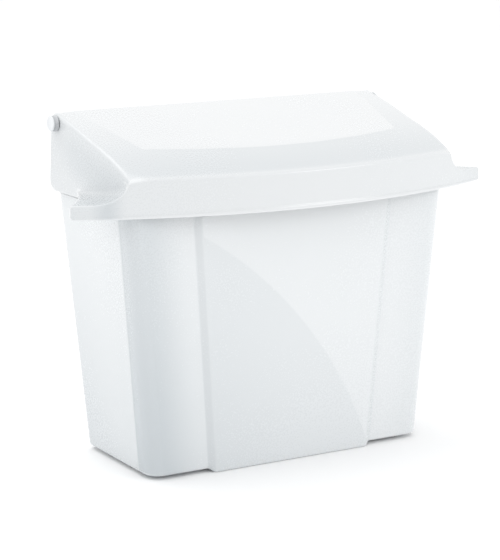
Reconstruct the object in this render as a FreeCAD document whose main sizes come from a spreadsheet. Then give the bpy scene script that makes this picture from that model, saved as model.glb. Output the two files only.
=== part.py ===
import FreeCAD, Part
import math
import os

import Sketcher
from FreeCAD import Placement, Rotation, Vector

# A wall-hung waste bin: drafted tub with a raised front panel, a hinged lid with a bowed
# skirt and side lifting ears, two headed hinge pins with push-on retainers, rubber
# bumpers and a removable rigid liner.
# Frame: X across the front, -Y towards the user, +Z up, origin at the bottom centre.

doc = FreeCAD.newDocument("WallBin")
sizes = doc.addObject("Spreadsheet::Sheet", "Sizes")

driving = [
    ("overall_width", 334.2),
    ("overall_depth", 139.8),
    ("overall_height", 246.7),
    ("wall", 2.6),
    ("lid_wall", 2.2),
    ("foot_height", 2.7),
    ("corner_radius", 11.7),
    ("back_radius", 6.0),
    ("collar_inset", 3.0),
    ("panel_raise", 3.0),
    ("panel_bevel", 5.6),
    ("wing_height", 9.7),
    ("pin_radius", 2.0),
    ("pin_head_radius", 5.6),
    ("pin_head_length", 4.8),
    ("pin_head_low", 1.2),
    ("pin_clearance", 0.06),
    ("pin_to_wall", 9.0),
    ("pin_below_top", 7.4),
    ("lid_bulge", 2.6),
    ("boss_radius", 6.0),
    ("washer_thickness", 1.0),
    ("face_gap", 0.3),
    ("liner_wall", 1.8),
    ("liner_gap", 2.5),
    ("screw_hole_radius", 2.75),
    ("screw_boss_radius", 8.0),
    ("bumper_radius", 4.5),
    ("bumper_gap", 0.1),
    ("edge_radius", 2.0),
]

# Every other coordinate follows from the driving sizes.
derived = [
    ("wall_y", "overall_depth / 2"),
    ("front_y", "0 - overall_depth / 2"),
    ("wing_half", "overall_width / 2"),
    ("skirt_radius", "overall_width * 1.1266"),
    ("skirt_inner", "skirt_radius - lid_wall"),
    ("skirt_centre_y", "front_y + skirt_radius"),
    ("nose_half", "overall_width * 0.3945"),
    ("rear_half", "overall_width * 0.3968"),
    ("flare_half", "overall_width * 0.4048"),
    ("base_half", "overall_width * 0.3378"),
    ("shoulder_half", "overall_width * 0.3869"),
    ("collar_half", "shoulder_half - collar_inset"),
    ("base_front_y", "wall_y - overall_depth * 0.7711"),
    ("base_back_y", "wall_y - overall_depth * 0.0601"),
    ("shoulder_front_y", "wall_y - overall_depth * 0.8033"),
    ("collar_front_y", "shoulder_front_y + collar_inset"),
    ("base_z", "foot_height"),
    ("shoulder_z", "overall_height * 0.7702"),
    ("nose_z", "overall_height * 0.8658"),
    ("skirt_bottom_z", "overall_height * 0.7596"),
    ("wing_top_z", "skirt_bottom_z + wing_height"),
    ("cheek_bottom_z", "shoulder_z + 1.5"),
    ("cheek_corner", "8"),
    ("cheek_corner_z", "cheek_bottom_z + cheek_corner"),
    ("pin_y", "wall_y - pin_to_wall"),
    ("pin_z", "overall_height - pin_below_top"),
    ("lid_back_y", "wall_y - 5"),
    ("ear_radius", "pin_below_top - lid_wall - 1.5"),
    ("washer_radius", "ear_radius"),
    ("cheek_back_r", "pin_to_wall - 0.7"),
    ("cheek_back_y", "pin_y + cheek_back_r"),
    ("cheek_corner_y", "cheek_back_y - cheek_corner"),
    ("cheek_top_z", "overall_height - 1"),
    ("cheek_top_y", "pin_y + sqrt(cheek_back_r ^ 2 - (cheek_top_z - pin_z) ^ 2)"),
    ("edge_z", "nose_z + 0.2"),
    ("sheet_reach", "skirt_radius - 0.8"),
    ("station_one", "nose_half / 2"),
    ("station_two", "flare_half + 2"),
    ("arc_y_zero", "skirt_centre_y - sheet_reach"),
    ("arc_y_one", "skirt_centre_y - sqrt(sheet_reach ^ 2 - station_one ^ 2)"),
    ("arc_y_two", "skirt_centre_y - sqrt(sheet_reach ^ 2 - station_two ^ 2)"),
    ("lid_drop", "overall_height - edge_z"),
    ("curve_zero", "((lid_back_y - arc_y_zero) ^ 2 + lid_drop ^ 2) / 8 / lid_bulge + lid_bulge / 2"),
    ("curve_one", "((lid_back_y - arc_y_one) ^ 2 + lid_drop ^ 2) / 8 / lid_bulge + lid_bulge / 2"),
    ("curve_two", "((lid_back_y - arc_y_two) ^ 2 + lid_drop ^ 2) / 8 / lid_bulge + lid_bulge / 2"),
    ("under_back_z", "overall_height - lid_wall"),
    ("under_front_z", "edge_z - lid_wall"),
    ("cheek_front_z", "edge_z - 1"),
    ("slope", "lid_drop / (lid_back_y - arc_y_two)"),
    ("rim_drop", "5.5"),
    ("rim_front_y", "collar_front_y - 1"),
    ("rim_front_z", "edge_z + slope * (rim_front_y - arc_y_two) - rim_drop"),
    ("rim_ear_y", "pin_y - ear_radius"),
    ("rim_ear_z", "edge_z + slope * (rim_ear_y - arc_y_two) - rim_drop"),
    ("rim_back_z", "pin_z - 7.5"),
    ("rim_back_start_y", "pin_y + ear_radius"),
    ("behind_y", "wall_y + 1"),
    ("rim_low_z", "shoulder_z - wall - 1"),
    ("panel_base_half", "overall_width * 0.2026"),
    ("panel_top_half", "overall_width * 0.2436"),
    ("panel_base_inner", "panel_base_half - panel_bevel"),
    ("panel_top_inner", "panel_top_half - panel_bevel"),
    ("panel_top_z", "shoulder_z - 2"),
    ("panel_top_front_y", "shoulder_front_y"),
    ("panel_top_face_y", "shoulder_front_y - panel_raise"),
    ("panel_top_root_y", "shoulder_front_y + 1.2"),
    ("panel_base_face_y", "base_front_y - panel_raise"),
    ("panel_base_root_y", "base_front_y + 1.2"),
    ("foot_depth", "12"),
    ("floor_z", "foot_height + wall"),
    ("inner_base_half", "base_half - wall"),
    ("inner_base_front_y", "base_front_y + wall"),
    ("inner_base_back_y", "base_back_y - wall"),
    ("inner_top_half", "shoulder_half - wall"),
    ("inner_top_front_y", "shoulder_front_y + wall"),
    ("inner_top_back_y", "wall_y - wall"),
    ("inner_top_z", "shoulder_z - wall"),
    ("collar_inner_half", "collar_half - 2.4"),
    ("collar_inner_front_y", "collar_front_y + 2.4"),
    ("inner_radius", "corner_radius - wall"),
    ("inner_back_radius", "back_radius - wall"),
    ("collar_radius", "corner_radius - collar_inset"),
    ("collar_inner_radius", "collar_radius - 2.4"),
    ("liner_top_z", "shoulder_z * 0.95"),
    ("liner_base_half", "inner_base_half - liner_gap"),
    ("liner_base_front_y", "inner_base_front_y + liner_gap"),
    ("liner_base_back_y", "inner_base_back_y - liner_gap"),
    ("liner_top_half", "collar_inner_half - 4.4"),
    ("liner_top_front_y", "collar_inner_front_y + 3.6"),
    ("liner_top_back_y", "inner_top_back_y - 4.8"),
    ("liner_radius", "inner_radius"),
    ("liner_in_radius", "liner_radius - liner_wall"),
    ("liner_in_base_half", "liner_base_half - liner_wall"),
    ("liner_in_base_front_y", "liner_base_front_y + liner_wall"),
    ("liner_in_base_back_y", "liner_base_back_y - liner_wall"),
    ("liner_in_top_half", "liner_top_half - liner_wall"),
    ("liner_in_top_front_y", "liner_top_front_y + liner_wall"),
    ("liner_in_top_back_y", "liner_top_back_y - liner_wall"),
    ("liner_floor_z", "floor_z + liner_wall"),
    ("flange_half", "liner_top_half + 2.2"),
    ("flange_front_y", "liner_top_front_y - 2.2"),
    ("flange_back_y", "liner_top_back_y + 2.2"),
    ("flange_radius", "liner_radius + 2.2"),
    ("flange_under_z", "liner_top_z - liner_wall"),
    ("web_under_z", "wing_top_z - lid_wall"),
    ("web_inner_x", "nose_half - lid_wall"),
    ("web_root_y", "wall_y - overall_depth * 0.31"),
    ("web_tip_y", "skirt_centre_y - sqrt(skirt_inner ^ 2 - wing_half ^ 2)"),
    ("web_root_x", "flare_half + 2"),
    ("cove_radius", "nose_z - wing_top_z"),
    ("cove_under", "cove_radius + lid_wall"),
    ("cove_centre_x", "nose_half + cove_radius"),
    ("ear_inner_x", "nose_half - lid_wall - 1"),
    ("tip_inner_x", "wing_half - edge_radius"),
    ("tip_top_z", "wing_top_z - edge_radius"),
    ("tip_low_z", "skirt_bottom_z + edge_radius"),
    ("hole_x", "overall_width * 0.24"),
    ("hole_low_z", "overall_height * 0.27"),
    ("hole_high_z", "overall_height * 0.83"),
    ("hole_mid_z", "(hole_low_z + hole_high_z) / 2"),
    ("cheek_pin_x", "rear_half + (flare_half - rear_half) * 0.18"),
    ("sheet_front_half", "nose_half - 0.6"),
    ("sheet_rear_half", "rear_half - 0.4"),
    ("cheek_front_out", "nose_half - 0.3"),
    ("cheek_front_in", "cheek_front_out - lid_wall"),
    ("cheek_rear_in", "rear_half - lid_wall"),
    ("cheek_flare_in", "flare_half - lid_wall"),
    ("block_top_z", "overall_height + 5"),
    ("block_low_z", "cheek_bottom_z - 4"),
    ("bumper_x", "overall_width * 0.3"),
    ("bumper_y", "collar_front_y + 1.2"),
]


def fill_sheet():
    for row, (alias, value) in enumerate(driving, 1):
        sizes.set("A%d" % row, alias)
        sizes.set("B%d" % row, str(value))
        sizes.setAlias("B%d" % row, alias)
    start = len(driving) + 1
    for row, (alias, rule) in enumerate(derived, start):
        sizes.set("A%d" % row, alias)
        sizes.set("B%d" % row, "=" + rule)
        sizes.setAlias("B%d" % row, alias)
    doc.recompute()


def size(name):
    if name == "0":
        return 0.0
    if name.startswith("-"):
        return -float(sizes.get(name[1:]))
    return float(sizes.get(name))


def ref(name):
    if name == "0":
        return "0"
    if name.startswith("-"):
        return "-Sizes." + name[1:]
    return "Sizes." + name


def bind(thing, **rules):
    for key, rule in rules.items():
        thing.setExpression(key.replace("_dot_", "."), rule)
    return thing


def move(thing, x="0", y="0", z="0", turn=None):
    if turn is not None:
        thing.Placement = Placement(Vector(0, 0, 0), turn)
    thing.setExpression("Placement.Base.x", x)
    thing.setExpression("Placement.Base.y", y)
    thing.setExpression("Placement.Base.z", z)
    return thing


acrossX = Rotation(Vector(0, 1, 0), 90)
sideView = Rotation(Vector(1, 1, 1), 120)
frontView = Rotation(Vector(1, 0, 0), 90)
flat = Rotation()


def outline(name, points, arcs=None, turn=flat, x="0", y="0", z="0"):
    # A closed sketch through named points; arcs maps a side's index to (radius, bulge side).
    arcs = arcs or {}
    sketch = doc.addObject("Sketcher::SketchObject", name)
    count = len(points)
    spots = [Vector(size(a), size(b), 0) for a, b in points]
    for i in range(count):
        start, end = spots[i], spots[(i + 1) % count]
        if i not in arcs:
            sketch.addGeometry(Part.LineSegment(start, end), False)
            continue
        radius, side = size(arcs[i][0]), arcs[i][1]
        chord = end - start
        half = chord.Length / 2
        sagitta = radius - math.sqrt(max(radius ** 2 - half ** 2, 0))
        out = Vector(chord.y, -chord.x, 0).normalize() * side
        middle = (start + end) * 0.5 + out * sagitta
        sketch.addGeometry(Part.Arc(start, middle, end), False)
    ends = [line_ends(sketch, i, spots[i]) for i in range(count)]
    for i in range(count):
        here = ends[i][0]
        before = ends[i - 1][1]
        sketch.addConstraint(Sketcher.Constraint("Coincident", (i - 1) % count, before, i, here))
    for i in range(count):
        for axis, kind in ((0, "DistanceX"), (1, "DistanceY")):
            value = (spots[i].x, spots[i].y)[axis]
            number = sketch.addConstraint(
                Sketcher.Constraint(kind, -1, 1, i, ends[i][0], value))
            sketch.setExpression("Constraints[%d]" % number, ref(points[i][axis]))
    for i, (radius, side) in arcs.items():
        number = sketch.addConstraint(Sketcher.Constraint("Radius", i, size(radius)))
        sketch.setExpression("Constraints[%d]" % number, ref(radius))
    move(sketch, x, y, z, turn)
    return sketch


def line_ends(sketch, index, start):
    # Point numbers of the side's start and end; an arc may be stored the other way round.
    first = sketch.getPoint(index, 1)
    if (Vector(first.x, first.y, 0) - start).Length < 1e-6:
        return 1, 2
    return 2, 1


def rounded(name, half, front, back, radius, backRadius, z):
    # A rectangle with rounded front and back corners, lying flat at height z.
    sketch = doc.addObject("Sketcher::SketchObject", name)
    w, f, b = size(half), size(front), size(back)
    r, s = size(radius), size(backRadius)
    spots = [(-w + r, f), (w - r, f), (w, f + r), (w, b - s),
             (w - s, b), (-w + s, b), (-w, b - s), (-w, f + r)]
    spots = [Vector(p[0], p[1], 0) for p in spots]
    centres = {1: (Vector(w - r, f + r, 0), r, -90, 0), 3: (Vector(w - s, b - s, 0), s, 0, 90),
               5: (Vector(-w + s, b - s, 0), s, 90, 180), 7: (Vector(-w + r, f + r, 0), r, 180, 270)}
    for i in range(8):
        if i in centres:
            middle, rad, low, high = centres[i]
            circle = Part.Circle(middle, Vector(0, 0, 1), rad)
            sketch.addGeometry(
                Part.ArcOfCircle(circle, math.radians(low), math.radians(high)), False)
        else:
            sketch.addGeometry(Part.LineSegment(spots[i], spots[(i + 1) % 8]), False)
    for i in range(8):
        sketch.addConstraint(Sketcher.Constraint("Tangent", i, 2, (i + 1) % 8, 1))
    for i, kind in ((0, "Horizontal"), (4, "Horizontal"), (2, "Vertical"), (6, "Vertical")):
        sketch.addConstraint(Sketcher.Constraint(kind, i))
    limits = [("DistanceX", 2, w, half), ("DistanceX", 6, -w, "-" + half),
              ("DistanceY", 0, f, front), ("DistanceY", 4, b, back)]
    for kind, side, value, alias in limits:
        number = sketch.addConstraint(Sketcher.Constraint(kind, -1, 1, side, 1, value))
        sketch.setExpression("Constraints[%d]" % number, ref(alias))
    for side, alias in ((1, radius), (7, radius), (3, backRadius), (5, backRadius)):
        number = sketch.addConstraint(Sketcher.Constraint("Radius", side, size(alias)))
        sketch.setExpression("Constraints[%d]" % number, ref(alias))
    move(sketch, z=ref(z))
    return sketch


def loft(name, sections, ruled=True):
    thing = doc.addObject("Part::Loft", name)
    thing.Sections = sections
    thing.Solid = True
    thing.Ruled = ruled
    return thing


def extrude(name, sketch, direction, length, both=False):
    thing = doc.addObject("Part::Extrusion", name)
    thing.Base = sketch
    thing.DirMode = "Custom"
    thing.Dir = direction
    thing.Solid = True
    thing.Symmetric = both
    thing.setExpression("LengthFwd", length)
    return thing


def box(name, x, y, z, length, width, height):
    thing = doc.addObject("Part::Box", name)
    bind(thing, Length=length, Width=width, Height=height)
    return move(thing, x, y, z)


def rod(name, radius, height, x, y, z, turn=acrossX):
    thing = doc.addObject("Part::Cylinder", name)
    bind(thing, Radius=radius, Height=height)
    return move(thing, x, y, z, turn)


def fuse(name, shapes):
    thing = doc.addObject("Part::MultiFuse", name)
    thing.Shapes = shapes
    return thing


def cut(name, base, tool):
    thing = doc.addObject("Part::Cut", name)
    thing.Base = base
    thing.Tool = tool
    return thing


def common(name, one, two):
    thing = doc.addObject("Part::Common", name)
    thing.Base = one
    thing.Tool = two
    return thing


def finish_part(name, source):
    thing = doc.addObject("Part::Refine", name)
    thing.Source = source
    thing.Label = name
    return thing


def tub_outside():
    lower = rounded("TubBase", "base_half", "base_front_y", "base_back_y",
                    "corner_radius", "back_radius", "base_z")
    upper = rounded("TubShoulder", "shoulder_half", "shoulder_front_y", "wall_y",
                    "corner_radius", "back_radius", "shoulder_z")
    return loft("TubOutside", [lower, upper])


def tub_inside():
    lower = rounded("TubFloor", "inner_base_half", "inner_base_front_y", "inner_base_back_y",
                    "inner_radius", "inner_back_radius", "floor_z")
    upper = rounded("TubInnerTop", "inner_top_half", "inner_top_front_y", "inner_top_back_y",
                    "inner_radius", "inner_back_radius", "inner_top_z")
    return loft("TubInside", [lower, upper])


def collar():
    outer = rounded("CollarOuter", "collar_half", "collar_front_y", "wall_y",
                    "collar_radius", "back_radius", "rim_low_z")
    outer = extrude("CollarBlock", outer, Vector(0, 0, 1), "Sizes.overall_height - Sizes.rim_low_z")
    profile = outline("RimProfile", [
        ("behind_y", "rim_low_z"), ("behind_y", "rim_back_z"),
        ("rim_back_start_y", "rim_back_z"), ("rim_back_start_y", "rim_ear_z"),
        ("rim_ear_y", "rim_ear_z"),
        ("rim_front_y", "rim_front_z"), ("rim_front_y", "rim_low_z")], turn=sideView)
    profile = extrude("RimBlock", profile, Vector(1, 0, 0), "Sizes.overall_width", True)
    return common("CollarCut", outer, profile)


def collar_inside():
    inner = rounded("CollarInner", "collar_inner_half", "collar_inner_front_y", "inner_top_back_y",
                    "collar_inner_radius", "inner_back_radius", "inner_top_z")
    return extrude("CollarHollow", inner, Vector(0, 0, 1), "Sizes.overall_height")


def ears():
    made = []
    for side, place in (("Left", "-Sizes.collar_half"), ("Right", "Sizes.collar_inner_half")):
        made.append(rod("Ear" + side, "Sizes.ear_radius", "Sizes.collar_half - Sizes.collar_inner_half",
                        place, "Sizes.pin_y", "Sizes.pin_z"))
    return made


def ear_bores():
    made = []
    for side, place in (("Left", "-Sizes.collar_half - 1"), ("Right", "Sizes.collar_inner_half - 1")):
        made.append(rod("EarBore" + side, "Sizes.pin_radius + Sizes.pin_clearance",
                        "Sizes.collar_half - Sizes.collar_inner_half + 2",
                        place, "Sizes.pin_y", "Sizes.pin_z"))
    return made


def front_panel():
    sections = []
    for level, z in (("base", "base_z"), ("top", "panel_top_z")):
        front = "base_front_y" if level == "base" else "panel_top_front_y"
        face = "panel_%s_face_y" % level
        root = "panel_%s_root_y" % level
        half, inner = "panel_%s_half" % level, "panel_%s_inner" % level
        sections.append(outline("Panel" + level.title(), [
            ("-" + half, root), ("-" + half, front), ("-" + inner, face),
            (inner, face), (half, front), (half, root)], z=ref(z)))
    panel = loft("PanelFace", sections)
    foot = box("FrontFoot", "-Sizes.panel_base_inner", "Sizes.panel_base_face_y", "0",
               "2 * Sizes.panel_base_inner", "Sizes.foot_depth", "Sizes.foot_height + 1")
    return [panel, foot]


def back_feet():
    made = []
    for side, sign in (("Left", "-1"), ("Right", "1")):
        made.append(box("BackFoot" + side, sign + " * (Sizes.panel_base_inner - 15) - 15",
                        "Sizes.base_back_y - 20", "0", "30", "12", "Sizes.foot_height + 1"))
    return made


def back_bosses():
    # Round pads that bring the drafted back out to the wall plane at each screw.
    made = []
    for side, sign in (("Left", "-"), ("Right", "")):
        made.append(rod("BackPad" + side, "Sizes.screw_boss_radius",
                        "(Sizes.wall_y - Sizes.base_back_y) + Sizes.wall",
                        sign + "Sizes.hole_x", "Sizes.wall_y", "Sizes.hole_low_z", frontView))
    return made


def screw_holes():
    made = []
    for side, sign in (("Left", "-"), ("Right", "")):
        for level in ("low", "high"):
            made.append(rod("ScrewHole" + side + level.title(), "Sizes.screw_hole_radius", "30",
                            sign + "Sizes.hole_x", "Sizes.wall_y + 5",
                            "Sizes.hole_%s_z" % level, frontView))
    return made


def bin_body():
    outside = fuse("TubSolid", [tub_outside(), collar()] + front_panel() + back_feet()
                   + back_bosses())
    inside = fuse("TubHollow", [tub_inside(), collar_inside()])
    shell = cut("TubShell", outside, inside)
    whole = fuse("TubWithEars", [shell] + ears())
    drilled = cut("TubDrilled", whole, fuse("TubHoles", ear_bores() + screw_holes()))
    return finish_part("bin_body", drilled)


def lid_sheet():
    sections = []
    stations = [("-Sizes.station_two", "two"), ("-Sizes.station_one", "one"), ("0", "zero"),
                ("Sizes.station_one", "one"), ("Sizes.station_two", "two")]
    for number, (place, key) in enumerate(stations):
        front, curve = "arc_y_" + key, "curve_" + key
        sections.append(outline("SheetSection%d" % number, [
            ("lid_back_y", "overall_height"), (front, "edge_z"),
            (front, "under_front_z"), ("lid_back_y", "under_back_z")],
            {0: (curve, 1), 2: (curve, -1)}, sideView, x=place))
    sheet = loft("SheetLoft", sections, False)
    plan = outline("SheetPlan", [
        ("-sheet_rear_half", "behind_y"), ("-sheet_front_half", "arc_y_two"),
        ("-sheet_front_half", "front_y"), ("sheet_front_half", "front_y"),
        ("sheet_front_half", "arc_y_two"), ("sheet_rear_half", "behind_y")])
    plan = extrude("SheetBlock", plan, Vector(0, 0, 1), "Sizes.block_top_z")
    return common("SheetTrim", sheet, plan)


def lid_skirt():
    outer = rod("SkirtOuter", "Sizes.skirt_radius", "Sizes.nose_z - Sizes.skirt_bottom_z",
                "0", "Sizes.skirt_centre_y", "Sizes.skirt_bottom_z", flat)
    inner = rod("SkirtInner", "Sizes.skirt_inner", "Sizes.overall_height",
                "0", "Sizes.skirt_centre_y", "0", flat)
    ring = cut("SkirtRing", outer, inner)
    face = outline("SkirtFace", [
        ("-nose_half", "nose_z"), ("nose_half", "nose_z"), ("cove_centre_x", "wing_top_z"),
        ("tip_inner_x", "wing_top_z"), ("wing_half", "tip_top_z"), ("wing_half", "tip_low_z"),
        ("tip_inner_x", "skirt_bottom_z"), ("-tip_inner_x", "skirt_bottom_z"),
        ("-wing_half", "tip_low_z"), ("-wing_half", "tip_top_z"),
        ("-tip_inner_x", "wing_top_z"), ("-cove_centre_x", "wing_top_z")],
        {1: ("cove_radius", 1), 3: ("edge_radius", -1), 5: ("edge_radius", -1),
         7: ("edge_radius", -1), 9: ("edge_radius", -1), 11: ("cove_radius", 1)}, frontView)
    face = extrude("SkirtWindow", face, Vector(0, -1, 0), "Sizes.overall_depth")
    return common("SkirtCut", ring, face)


def side_outline():
    profile = outline("CheekOutline", [
        ("cheek_top_y", "cheek_top_z"), ("lid_back_y", "cheek_top_z"),
        ("arc_y_two", "cheek_front_z"), ("arc_y_two", "cheek_bottom_z"),
        ("cheek_corner_y", "cheek_bottom_z"), ("cheek_back_y", "cheek_corner_z"),
        ("cheek_back_y", "pin_z")],
        {1: ("curve_two", 1), 4: ("cheek_corner", 1), 6: ("cheek_back_r", 1)}, sideView)
    return extrude("CheekWindow", profile, Vector(1, 0, 0), "Sizes.overall_width * 1.2", True)


def lid_cheek(side, sign):
    sections = []
    for place, front in (("arc_y_two", True), ("behind_y", False)):
        top = "cheek_front_out" if front else "rear_half"
        low = "cheek_front_out" if front else "flare_half"
        topIn = "cheek_front_in" if front else "cheek_rear_in"
        lowIn = "cheek_front_in" if front else "cheek_flare_in"
        name = "Cheek%s%s" % (side, "Front" if front else "Back")
        sections.append(outline(name, [
            (sign + top, "block_top_z"), (sign + topIn, "block_top_z"),
            (sign + lowIn, "block_low_z"), (sign + low, "block_low_z")],
            turn=frontView, y=ref(place)))
    return loft("CheekLoft" + side, sections)


def lid_ear(side, sign):
    # The scooped ear behind each end of the skirt: a quarter-round cove running into a web.
    bulge = -1 if sign else 1
    scoop = outline("EarScoop" + side, [
        (sign + "nose_half", "nose_z"), (sign + "cove_centre_x", "wing_top_z"),
        (sign + "wing_half", "wing_top_z"), (sign + "wing_half", "web_under_z"),
        (sign + "cove_centre_x", "web_under_z"), (sign + "web_inner_x", "nose_z")],
        {0: ("cove_radius", bulge), 4: ("cove_under", -bulge)}, frontView, y="Sizes.wall_y")
    scoop = extrude("EarRun" + side, scoop, Vector(0, -1, 0), "Sizes.overall_depth")
    plan = outline("EarPlan" + side, [
        (sign + "ear_inner_x", "web_root_y"), (sign + "web_root_x", "web_root_y"),
        (sign + "wing_half", "web_tip_y"), (sign + "wing_half", "front_y"),
        (sign + "ear_inner_x", "front_y")])
    plan = extrude("EarBlock" + side, plan, Vector(0, 0, 1), "Sizes.overall_height")
    return common("Ear%sShape" % side, scoop, plan)


def lid_bosses():
    made = []
    for side, place in (("Left", "-Sizes.cheek_pin_x"),
                        ("Right", "Sizes.collar_half + Sizes.face_gap")):
        made.append(rod("LidBoss" + side, "Sizes.boss_radius",
                        "Sizes.cheek_pin_x - Sizes.collar_half - Sizes.face_gap",
                        place, "Sizes.pin_y", "Sizes.pin_z"))
    return made


def lid():
    sheet = lid_sheet()
    skirt = lid_skirt()
    window = side_outline()
    walls = [lid_cheek("Left", "-"), lid_cheek("Right", "")]
    cheeks = common("CheekPair", fuse("CheekBlocks", walls), window)
    bay = rod("SkirtBay", "Sizes.skirt_radius - 1", "Sizes.overall_height",
              "0", "Sizes.skirt_centre_y", "0", flat)
    scoops = fuse("EarPair", [lid_ear("Left", "-"), lid_ear("Right", "")])
    scoops = common("EarTrim", scoops, bay)
    cheeks = common("CheekTrim", cheeks, bay_copy())
    bosses = common("BossTrim", fuse("BossPair", lid_bosses()), boss_room())
    whole = fuse("LidSolid", [sheet, skirt, cheeks, scoops, bosses])
    bore = rod("LidBore", "Sizes.pin_radius", "Sizes.overall_width * 1.1",
               "-Sizes.overall_width * 0.55", "Sizes.pin_y", "Sizes.pin_z")
    return finish_part("lid", cut("LidBored", whole, bore))


def bay_copy():
    return rod("CheekBay", "Sizes.skirt_radius - 1.1", "Sizes.overall_height",
               "0", "Sizes.skirt_centre_y", "0", flat)


def boss_room():
    # Keeps the hinge bosses below the sheet's top and in front of the wall.
    profile = outline("BossOutline", [
        ("cheek_back_y", "rim_low_z"), ("cheek_back_y", "pin_z"),
        ("cheek_top_y", "cheek_top_z"), ("lid_back_y", "cheek_top_z"),
        ("arc_y_two", "cheek_front_z"), ("arc_y_two", "rim_low_z")],
        {3: ("curve_two", 1)}, sideView)
    return extrude("BossWindow", profile, Vector(1, 0, 0), "Sizes.overall_width * 1.3", True)


def hinge_pin(side, sign):
    # Shank from the head's inner face to just past the retainer; the right head is a low disc.
    inner = "(Sizes.collar_inner_half - Sizes.face_gap - Sizes.washer_thickness - 1)"
    reach = "(Sizes.cheek_pin_x + Sizes.face_gap - %s)" % inner
    if sign:
        length = "Sizes.pin_head_length"
        head_x = "-Sizes.cheek_pin_x - Sizes.face_gap - " + length
        shank_x = "-Sizes.cheek_pin_x - Sizes.face_gap"
    else:
        length = "Sizes.pin_head_low"
        head_x = "Sizes.cheek_pin_x + Sizes.face_gap"
        shank_x = inner
    head = rod("PinHead" + side, "Sizes.pin_head_radius", length,
               head_x, "Sizes.pin_y", "Sizes.pin_z")
    shank = rod("PinShank" + side, "Sizes.pin_radius", reach, shank_x, "Sizes.pin_y", "Sizes.pin_z")
    return finish_part("hinge_pin_" + side.lower(), fuse("Pin" + side, [head, shank]))


def pin_retainer(side, sign):
    near = "Sizes.collar_inner_half - Sizes.face_gap"
    place = "-(%s)" % near if sign else near + " - Sizes.washer_thickness"
    disc = rod("RetainerDisc" + side, "Sizes.washer_radius", "Sizes.washer_thickness",
               place, "Sizes.pin_y", "Sizes.pin_z")
    hole = rod("RetainerHole" + side, "Sizes.pin_radius", "Sizes.washer_thickness * 3",
               "%s - Sizes.washer_thickness" % place, "Sizes.pin_y", "Sizes.pin_z")
    return finish_part("pin_retainer_" + side.lower(), cut("Retainer" + side, disc, hole))


def liner():
    lower = rounded("LinerBase", "liner_base_half", "liner_base_front_y", "liner_base_back_y",
                    "liner_radius", "liner_radius", "floor_z")
    upper = rounded("LinerTop", "liner_top_half", "liner_top_front_y", "liner_top_back_y",
                    "liner_radius", "liner_radius", "liner_top_z")
    outside = loft("LinerOutside", [lower, upper])
    rim = rounded("LinerRim", "flange_half", "flange_front_y", "flange_back_y",
                  "flange_radius", "flange_radius", "flange_under_z")
    rim = extrude("LinerFlange", rim, Vector(0, 0, 1), "Sizes.liner_wall")
    low = rounded("LinerFloor", "liner_in_base_half", "liner_in_base_front_y",
                  "liner_in_base_back_y", "liner_in_radius", "liner_in_radius", "liner_floor_z")
    high = rounded("LinerMouth", "liner_in_top_half", "liner_in_top_front_y",
                   "liner_in_top_back_y", "liner_in_radius", "liner_in_radius", "liner_top_z")
    hollow = loft("LinerHollow", [low, high])
    tabs = []
    for side, place in (("Left", "-Sizes.liner_top_half"), ("Right", "Sizes.liner_in_top_half")):
        tabs.append(box("GripTab" + side, place, "-20 + Sizes.overall_depth * 0.08",
                        "Sizes.flange_under_z", "Sizes.liner_wall", "40", "14"))
    shell = cut("LinerShell", fuse("LinerSolid", [outside, rim]), hollow)
    return finish_part("liner", fuse("LinerWithTabs", [shell] + tabs))


def bumpers():
    # Two rubber pads under the lid sheet that land on the tub's front rim.
    angle = Rotation(Vector(1, 0, 0), math.degrees(math.atan(size("slope"))))
    rim = "Sizes.edge_z + Sizes.slope * (Sizes.bumper_y - Sizes.arc_y_two) - Sizes.rim_drop"
    made = []
    for side, place in (("Left", "-Sizes.bumper_x"), ("Right", "Sizes.bumper_x")):
        pad = rod("Bumper" + side, "Sizes.bumper_radius", "20", place, "Sizes.bumper_y",
                  rim + " + Sizes.bumper_gap", angle)
        made.append(pad)
    pair = fuse("BumperPair", made)
    under = []
    stations = [("-Sizes.station_two", "two"), ("-Sizes.station_one", "one"), ("0", "zero"),
                ("Sizes.station_one", "one"), ("Sizes.station_two", "two")]
    for number, (place, key) in enumerate(stations):
        front, curve = "arc_y_" + key, "curve_" + key
        under.append(outline("UnderSection%d" % number, [
            ("lid_back_y", "under_back_z"), (front, "under_front_z"),
            (front, "rim_low_z"), ("lid_back_y", "rim_low_z")],
            {0: (curve, 1)}, sideView, x=place))
    room = loft("UnderLid", under, False)
    return finish_part("lid_bumpers", common("BumperTrim", pair, room))


def check_and_export(parts):
    doc.recompute()
    for thing in doc.Objects:
        bad = [word for word in thing.State if word in ("Invalid", "Error")]
        if bad:
            raise RuntimeError("%s is %s" % (thing.Name, bad))
    os.makedirs("parts", exist_ok=True)
    for thing in parts:
        shape = thing.Shape
        if shape.isNull() or not shape.isValid() or not shape.Solids:
            raise RuntimeError("%s has no valid solid" % thing.Label)
        shape.exportStep(os.path.join("parts", thing.Label + ".step"))
        bounds = shape.BoundBox
        print("%-20s solids %d volume %.0f  x %.1f %.1f  y %.1f %.1f  z %.1f %.1f" % (
            thing.Label, len(shape.Solids), shape.Volume, bounds.XMin, bounds.XMax,
            bounds.YMin, bounds.YMax, bounds.ZMin, bounds.ZMax))


fill_sheet()
check_and_export([
    bin_body(), lid(),
    hinge_pin("Left", "-"), hinge_pin("Right", ""),
    pin_retainer("Left", "-"), pin_retainer("Right", ""),
    liner(), bumpers(),
])
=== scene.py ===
import math

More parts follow.
